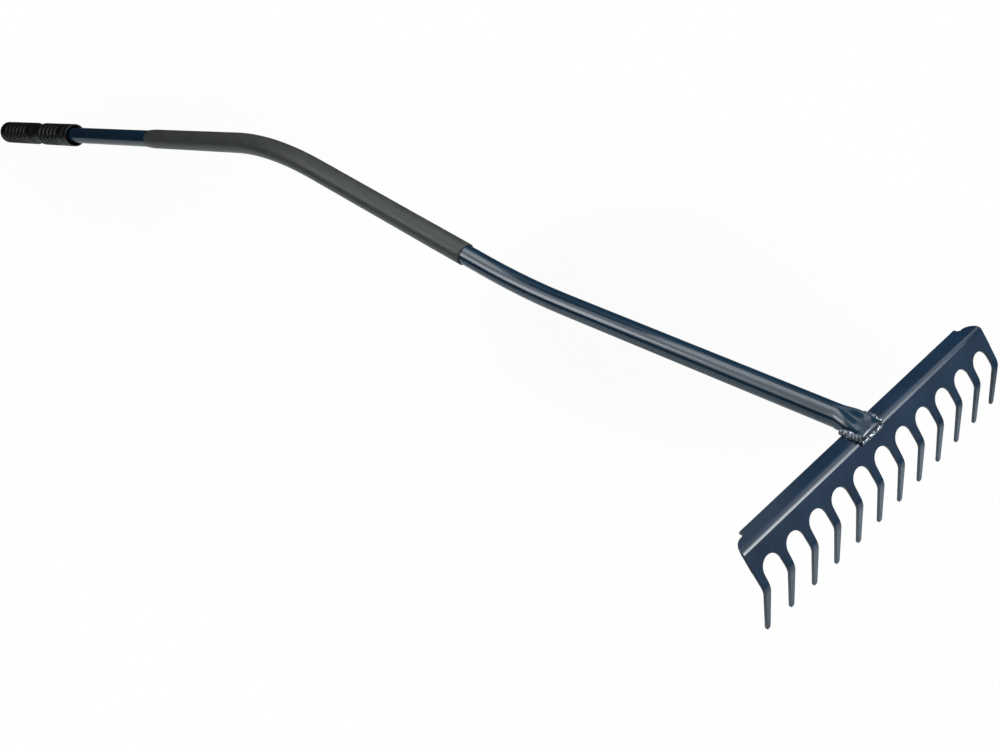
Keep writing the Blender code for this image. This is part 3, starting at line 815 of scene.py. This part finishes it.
def draw_tube(sizes):
    """The shaft's tube, straight and round at first, then pressed and bent."""
    radius = sizes.diameter / 2
    rows = steps(TONGUE_FRONT, TONGUE_FRONT + LIP_LENGTH, LIP_ROWS)
    rows += shaft_rows(TONGUE_FRONT + LIP_LENGTH + LIP_GAP, UNDER_ROUND, TONGUE_ROW)
    rows += shaft_rows(UNDER_ROUND, SHAFT_END - END_WALL - SEAT_GAP, SHAFT_ROW)[1:]
    shape = spin_outline([(row, radius) for row in rows], TUBE_SIDES, closed=False)
    bmesh.ops.rotate(shape, verts=shape.verts, cent=(0.0, 0.0, 0.0),
                     matrix=Matrix.Rotation(math.pi / TUBE_SIDES, 3, "Y"))
    press_tongue(shape, radius)
    turn_lip_down(shape)
    bend_along_shaft(shape)
    return shape


def draw_bead(line, width, height, seed):
    """A weld bead: a cord of overlapping lumps along the line, as uneven as a hand-run bead."""
    shape = bmesh.new()
    ring = bmesh.ops.create_circle(shape, cap_ends=True, radius=1.0, segments=BEAD_SIDES)["verts"]
    end = shape.faces[:]
    old = Matrix.Identity(4)
    last = len(line) - 1
    for number, place in enumerate(line):
        after = line[min(last, number + 1)] - line[max(0, number - 1)]
        turn = after.to_track_quat("Z", "X").to_matrix().to_4x4()
        run = (place - line[0]).length
        drift = noise.noise(Vector((run * DRIFT_SCALE, seed, 0.0)))
        ripple = abs(math.sin(math.pi * run / RIPPLE_PITCH + 0.9 * drift))
        lump = 0.8 + 0.2 * math.sqrt(ripple) + 0.2 * drift
        lump *= max(0.3, math.sin(math.pi * (number + 0.5) / (last + 1))) ** 0.3
        size = Matrix.Diagonal((height / 2 * lump, width / 2 * lump, 1.0, 1.0))
        new = Matrix.Translation(place) @ turn @ size
        if number:
            made = bmesh.ops.extrude_face_region(shape, geom=end)["geom"]
            if number > 1:
                bmesh.ops.delete(shape, geom=end, context="FACES_ONLY")
            ring = [item for item in made if isinstance(item, bmesh.types.BMVert)]
            end = [item for item in made if isinstance(item, bmesh.types.BMFace)]
        bmesh.ops.transform(shape, verts=ring, matrix=new @ old.inverted())
        old = new
    start = Vector((seed, 0.0, 0.0))
    for point in shape.verts:
        coarse = noise.noise_vector(point.co * LUMP_SCALE + start)
        fine = noise.noise_vector(point.co * PIT_SCALE + start)
        point.co += LUMP_HEIGHT * coarse + PIT_HEIGHT * fine
    bmesh.ops.recalc_face_normals(shape, faces=shape.faces)
    return shape


def add_spatter(shape, line, count, side):
    """Drops of spatter on the sheet and on the tongue beside a bead."""
    for number in range(count):
        share = noise.noise_vector(Vector((number * 7.31, side * 3.7, 0.5)))
        place = line[int((0.5 + 0.9 * share.x) * (len(line) - 1)) % len(line)].copy()
        outside = number % 3 > 0
        away = SPATTER_GAP + SPATTER_REACH * abs(share.y)
        place.x += side * away * (1 if outside else -1)
        place.z = SPATTER_ON_SHEET if outside else SPATTER_ON_TONGUE
        radius = SPATTER_LEAST + SPATTER_GROWTH * abs(share.z)
        drop = bmesh.ops.create_icosphere(shape, subdivisions=2, radius=radius)
        bmesh.ops.translate(shape, verts=drop["verts"], vec=place)


class RAKE_OT_head(bpy.types.Operator):
    """Build the head: one pressed and bent sheet with its tines"""
    bl_idname = "rake.head"
    bl_label = "Head"

    def execute(self, context):
        sizes = context.scene.rake_head
        paint = baked_enamel(
            "head_baked_enamel", sizes.enamel, roughness=0.115, peel=0.1, waviness=0.1)
        head = finish_piece("head_pressing", draw_head(sizes), paint, "rake_head")
        add_wall(head, sizes.sheet)
        add_rounding(head, sizes.edge_round, segments=3, limit=40)
        return {"FINISHED"}


class RAKE_OT_shaft(bpy.types.Operator):
    """Build the shaft: one bent tube, pressed flat where it lies on the head"""
    bl_idname = "rake.shaft"
    bl_label = "Shaft"

    def execute(self, context):
        sizes = context.scene.rake_shaft
        paint = baked_enamel(
            "shaft_baked_enamel", sizes.enamel, roughness=0.1, peel=0.06, waviness=0.05)
        tube = finish_piece("shaft_pipe", draw_tube(sizes), paint, "shaft_tube")
        add_wall(tube, sizes.wall)
        add_rounding(tube, width=0.0004, segments=2, limit=50)
        return {"FINISHED"}


class RAKE_OT_welds(bpy.types.Operator):
    """Build the welds: a bead on each side of the tongue and one below its open end"""
    bl_idname = "rake.welds"
    bl_label = "Welds"

    def execute(self, context):
        sizes = context.scene.rake_welds
        # Noise vectors start from the clock unless they are seeded
        noise.seed_set(WELD_SEED)
        paint = weld_enamel(sizes.enamel, sizes.steel)
        for name, node, side in (("left_bead", "left_weld", 1), ("right_bead", "right_weld", -1)):
            line = []
            for y in steps(SIDE_BEAD_BACK, SIDE_BEAD_FRONT, SIDE_BEAD_ROWS):
                wide = tongue_width(y, context.scene.rake_shaft.diameter / 2)
                line.append(Vector((side * (wide + SIDE_BEAD_GAP), y, SIDE_BEAD_Z)))
            bead = draw_bead(line, sizes.bead, SIDE_BEAD_HEIGHT, seed=side * 7.0)
            for point in bead.verts:
                point.co.z = max(BEAD_SOLE, point.co.z)
            add_spatter(bead, line, sizes.spatter, side)
            finish_piece(name, bead, paint, node)
        line = [Vector((x, FRONT_BEAD_Y, FRONT_BEAD_Z))
                for x in steps(-FRONT_BEAD_REACH, FRONT_BEAD_REACH, FRONT_BEAD_ROWS)]
        bead = draw_bead(line, FRONT_BEAD_WIDTH, FRONT_BEAD_HEIGHT, seed=3.0)
        finish_piece("front_bead", bead, paint, "front_weld")
        return {"FINISHED"}


def sleeve_outline(sizes, bore):
    """The sleeve's closed outline, along its outside and back through its bore."""
    outer = bore + sizes.wall
    last = sizes.start + sizes.length
    full = last - sizes.taper
    outline = [(sizes.start, outer - SLEEVE_EDGE), (sizes.start + SLEEVE_EDGE, outer)]
    first = sizes.start + SLEEVE_FIRST_ROW
    outline += [(row, outer) for row in shaft_rows(first, full, SLEEVE_ROW)]
    for row in steps(full, last, TAPER_ROWS)[1:]:
        thin = smooth((row - full) / sizes.taper)
        outline.append((row, outer - (sizes.wall - END_FOAM) * thin))
    outline += [(row, bore) for row in reversed(shaft_rows(sizes.start, last, SLEEVE_ROW))]
    return outline


def swell_outside(shape, bore):
    """Swell and thin the foam a little from place to place, and leave its bore as it is."""
    for point in shape.verts:
        if math.hypot(point.co.x, point.co.z) > bore + SLEEVE_SKIN:
            swell = noise.noise(Vector((point.co.x * SWELL_ACROSS, point.co.y * SWELL_ALONG,
                                        point.co.z * SWELL_ACROSS)))
            point.co.x *= 1 + SWELL_SHARE * swell
            point.co.z *= 1 + SWELL_SHARE * swell


class RAKE_OT_sleeve(bpy.types.Operator):
    """Build the foam sleeve over the middle of the shaft"""
    bl_idname = "rake.sleeve"
    bl_label = "Sleeve"

    def execute(self, context):
        sizes = context.scene.rake_sleeve
        bore = context.scene.rake_shaft.diameter / 2 + SLEEVE_GAP
        shape = spin_outline(sleeve_outline(sizes, bore), TUBE_SIDES, closed=True)
        swell_outside(shape, bore)
        bend_along_shaft(shape)
        sleeve = finish_piece("foam_sleeve", shape, closed_cell_foam(sizes.foam), "shaft_sleeve")
        return {"FINISHED"}


def band_outline(first, last, radius):
    """Outline of a plain band, with its corners eased."""
    return [(first, radius - EDGE_ROUND), (first + EDGE_ROUND, radius),
            (last - EDGE_ROUND, radius), (last, radius - EDGE_ROUND)]


def rib_outline(start, count, sizes):
    """Outline of a run of ribs, each with sloping sides and a flat crest."""
    radius = sizes.diameter / 2
    groove = radius - sizes.rib_depth
    outline = []
    for number in range(count):
        middle = start + (number + 0.5) * sizes.rib_pitch
        outline += [(middle - RIB_FOOT / 2, groove), (middle - RIB_CREST / 2, radius),
                    (middle + RIB_CREST / 2, radius), (middle + RIB_FOOT / 2, groove)]
    return outline


def grip_outline(sizes, bore):
    """The grip's outline, from the bottom of its bore out of its mouth and along its outside."""
    radius = sizes.diameter / 2
    end_ribs = SHAFT_END - END_WALL - sizes.end_ribs * sizes.rib_pitch
    waist_start = end_ribs - PLAIN_BAND - WAIST_LENGTH
    front_ribs = waist_start - sizes.front_ribs * sizes.rib_pitch
    mouth = front_ribs - COLLAR - LIP_GROOVE - LIP_BAND
    outline = [
        (SHAFT_END - END_WALL, 0.0), (SHAFT_END - END_WALL, bore), (mouth + CUP_DEPTH, bore),
        (mouth + EDGE_ROUND, CUP_RADIUS), (mouth, CUP_RADIUS + EDGE_ROUND / 2),
    ]
    outline += band_outline(mouth, mouth + LIP_BAND, radius)
    outline += band_outline(mouth + LIP_BAND + LIP_GROOVE, front_ribs, radius)
    outline += rib_outline(front_ribs, sizes.front_ribs, sizes)
    for share in steps(0.0, 1.0, WAIST_ROWS):
        depth = sizes.rib_depth * (1 - share) + WAIST_SAG * math.sin(math.pi * share)
        outline.append((waist_start + WAIST_LENGTH * share, radius - depth))
    outline += [(end_ribs - EDGE_ROUND, radius), (end_ribs, radius - EDGE_ROUND)]
    outline += rib_outline(end_ribs, sizes.end_ribs, sizes)
    for turn in steps(0.0, math.pi / 2, END_ROWS):
        place = SHAFT_END - END_ROUND * (1 - math.sin(turn))
        outline.append((place, radius - END_ROUND * (1 - math.cos(turn))))
    outline.append((SHAFT_END, 0.0))
    return outline


class RAKE_OT_grip(bpy.types.Operator):
    """Build the ribbed grip on the end of the shaft"""
    bl_idname = "rake.grip"
    bl_label = "Grip"

    def execute(self, context):
        sizes = context.scene.rake_grip
        bore = context.scene.rake_shaft.diameter / 2 + GRIP_GAP
        shape = spin_outline(grip_outline(sizes, bore), GRIP_SIDES, closed=False)
        bend_along_shaft(shape)
        grip = finish_piece("ribbed_grip", shape, moulded_rubber(sizes.rubber), "end_grip")
        add_rounding(grip, width=0.0005, segments=3, limit=20)
        return {"FINISHED"}


def add_lamp(name, azimuth, elevation, wide, high, roll, spread, brightness):
    """A soft rectangular lamp round the head, placed and sized by angles in degrees.

    Azimuth 0 is straight ahead of the head and 90 to its left end, and brightness is how bright
    the lamp's face is where 1 is white. A spread below 180 degrees dims it to the sides.
    """
    side = math.radians(azimuth)
    rise = math.radians(elevation)
    level = math.cos(rise)
    out = Vector((math.sin(side) * level, -math.cos(side) * level, math.sin(rise)))
    lamp = bpy.data.lights.new(name, "AREA")
    lamp.shape = "RECTANGLE"
    lamp.size = 2 * LAMP_DISTANCE * math.tan(math.radians(wide) / 2)
    lamp.size_y = 2 * LAMP_DISTANCE * math.tan(math.radians(high) / 2)
    half = math.radians(spread) / 2
    lamp.energy = brightness * (1 - half / math.tan(half)) * math.pi * lamp.size * lamp.size_y
    lamp.color = LAMP_TINT
    lamp.spread = 2 * half
    holder = bpy.data.objects.new(name, lamp)
    aim = (-out).to_track_quat("-Z", "Y").to_matrix().to_4x4()
    turn = Matrix.Rotation(math.radians(roll), 4, "Z")
    holder.matrix_world = Matrix.Translation(LAMP_CENTRE + out * LAMP_DISTANCE) @ aim @ turn
    holder.visible_camera = False
    bpy.context.scene.collection.objects.link(holder)


def draw_sweep():
    """The studio's floor, which turns up in a bend to a wall all round."""
    outline = [(0.0, 0.0), (0.0, SWEEP_RADIUS - SWEEP_BEND)]
    for turn in steps(0.0, math.pi / 2, SWEEP_ROWS)[1:]:
        inward = SWEEP_BEND * (1 - math.sin(turn))
        outline.append((SWEEP_BEND * (1 - math.cos(turn)), SWEEP_RADIUS - inward))
    outline.append((WALL_HEIGHT, SWEEP_RADIUS))
    shape = spin_outline(outline, SWEEP_SIDES, closed=False)
    bmesh.ops.rotate(shape, verts=shape.verts, cent=(0.0, 0.0, 0.0),
                     matrix=Matrix.Rotation(math.pi / 2, 3, "X"))
    if shape.faces[:][0].normal.z < 0:
        bmesh.ops.reverse_faces(shape, faces=shape.faces)
    return shape


class RAKE_OT_stage(bpy.types.Operator):
    """Build the floor, the lights and the camera"""
    bl_idname = "rake.stage"
    bl_label = "Stage"

    def execute(self, context):
        sizes = context.scene.rake_stage
        scene = context.scene
        mesh = bpy.data.meshes.new("studio_floor")
        shape = draw_sweep()
        shape.to_mesh(mesh)
        shape.free()
        mesh.materials.append(paper_with_painted_pool(sizes.floor))
        mesh.shade_smooth()
        floor = bpy.data.objects.new("studio_floor", mesh)
        scene.collection.objects.link(floor)

        world = bpy.data.worlds.new("studio")
        world.use_nodes = True
        room = world.node_tree.nodes["Background"]
        room.inputs["Color"].default_value = ROOM_COLOUR
        room.inputs["Strength"].default_value = ROOM_STRENGTH
        scene.world = world

        for lamps, strength in ((FRONT_LAMPS, sizes.key), (BACK_LAMPS, sizes.back)):
            for name, (*place, brightness) in lamps.items():
                add_lamp(name, *place, brightness * strength)

        camera = bpy.data.objects.new("camera", bpy.data.cameras.new("camera"))
        camera.location = CAMERA_PLACE
        camera.rotation_euler = CAMERA_TURN
        camera.data.lens = CAMERA_LENS
        camera.data.sensor_width = CAMERA_SENSOR
        scene.collection.objects.link(camera)
        scene.camera = camera
        scene.view_settings.view_transform = "Standard"
        return {"FINISHED"}


class RAKE_PT_pieces(bpy.types.Panel):
    """The rake's pieces, in the order in which they are built"""
    bl_label = "Rake"
    bl_idname = "RAKE_PT_pieces"
    bl_space_type = "VIEW_3D"
    bl_region_type = "UI"
    bl_category = "Rake"

    def draw(self, context):
        for operator, group in PIECES:
            box = self.layout.box()
            box.operator(operator.bl_idname)
            settings = getattr(context.scene, group)
            for name in settings.bl_rna.properties.keys():
                if name not in ("rna_type", "name"):
                    box.prop(settings, name)


GROUPS = {
    "rake_head": RakeHeadSizes,
    "rake_shaft": RakeShaftSizes,
    "rake_welds": RakeWeldSizes,
    "rake_sleeve": RakeSleeveSizes,
    "rake_grip": RakeGripSizes,
    "rake_stage": RakeStageSizes,
}

PIECES = (
    (RAKE_OT_head, "rake_head"),
    (RAKE_OT_shaft, "rake_shaft"),
    (RAKE_OT_welds, "rake_welds"),
    (RAKE_OT_sleeve, "rake_sleeve"),
    (RAKE_OT_grip, "rake_grip"),
    (RAKE_OT_stage, "rake_stage"),
)


def register():
    """Add the sizes, the operators and the panel."""
    for name, group in GROUPS.items():
        bpy.utils.register_class(group)
        setattr(bpy.types.Scene, name, bpy.props.PointerProperty(type=group))
    for operator, group in PIECES:
        bpy.utils.register_class(operator)
    bpy.utils.register_class(RAKE_PT_pieces)


def unregister():
    """Take the panel, the operators and the sizes away again."""
    bpy.utils.unregister_class(RAKE_PT_pieces)
    for operator, group in reversed(PIECES):
        bpy.utils.unregister_class(operator)
    for name, group in GROUPS.items():
        delattr(bpy.types.Scene, name)
        bpy.utils.unregister_class(group)


def main():
    """Build the rake and its stage."""
    register()
    bpy.ops.rake.head()
    bpy.ops.rake.shaft()
    bpy.ops.rake.welds()
    bpy.ops.rake.sleeve()
    bpy.ops.rake.grip()
    bpy.ops.rake.stage()


if __name__ == "__main__":
    main()
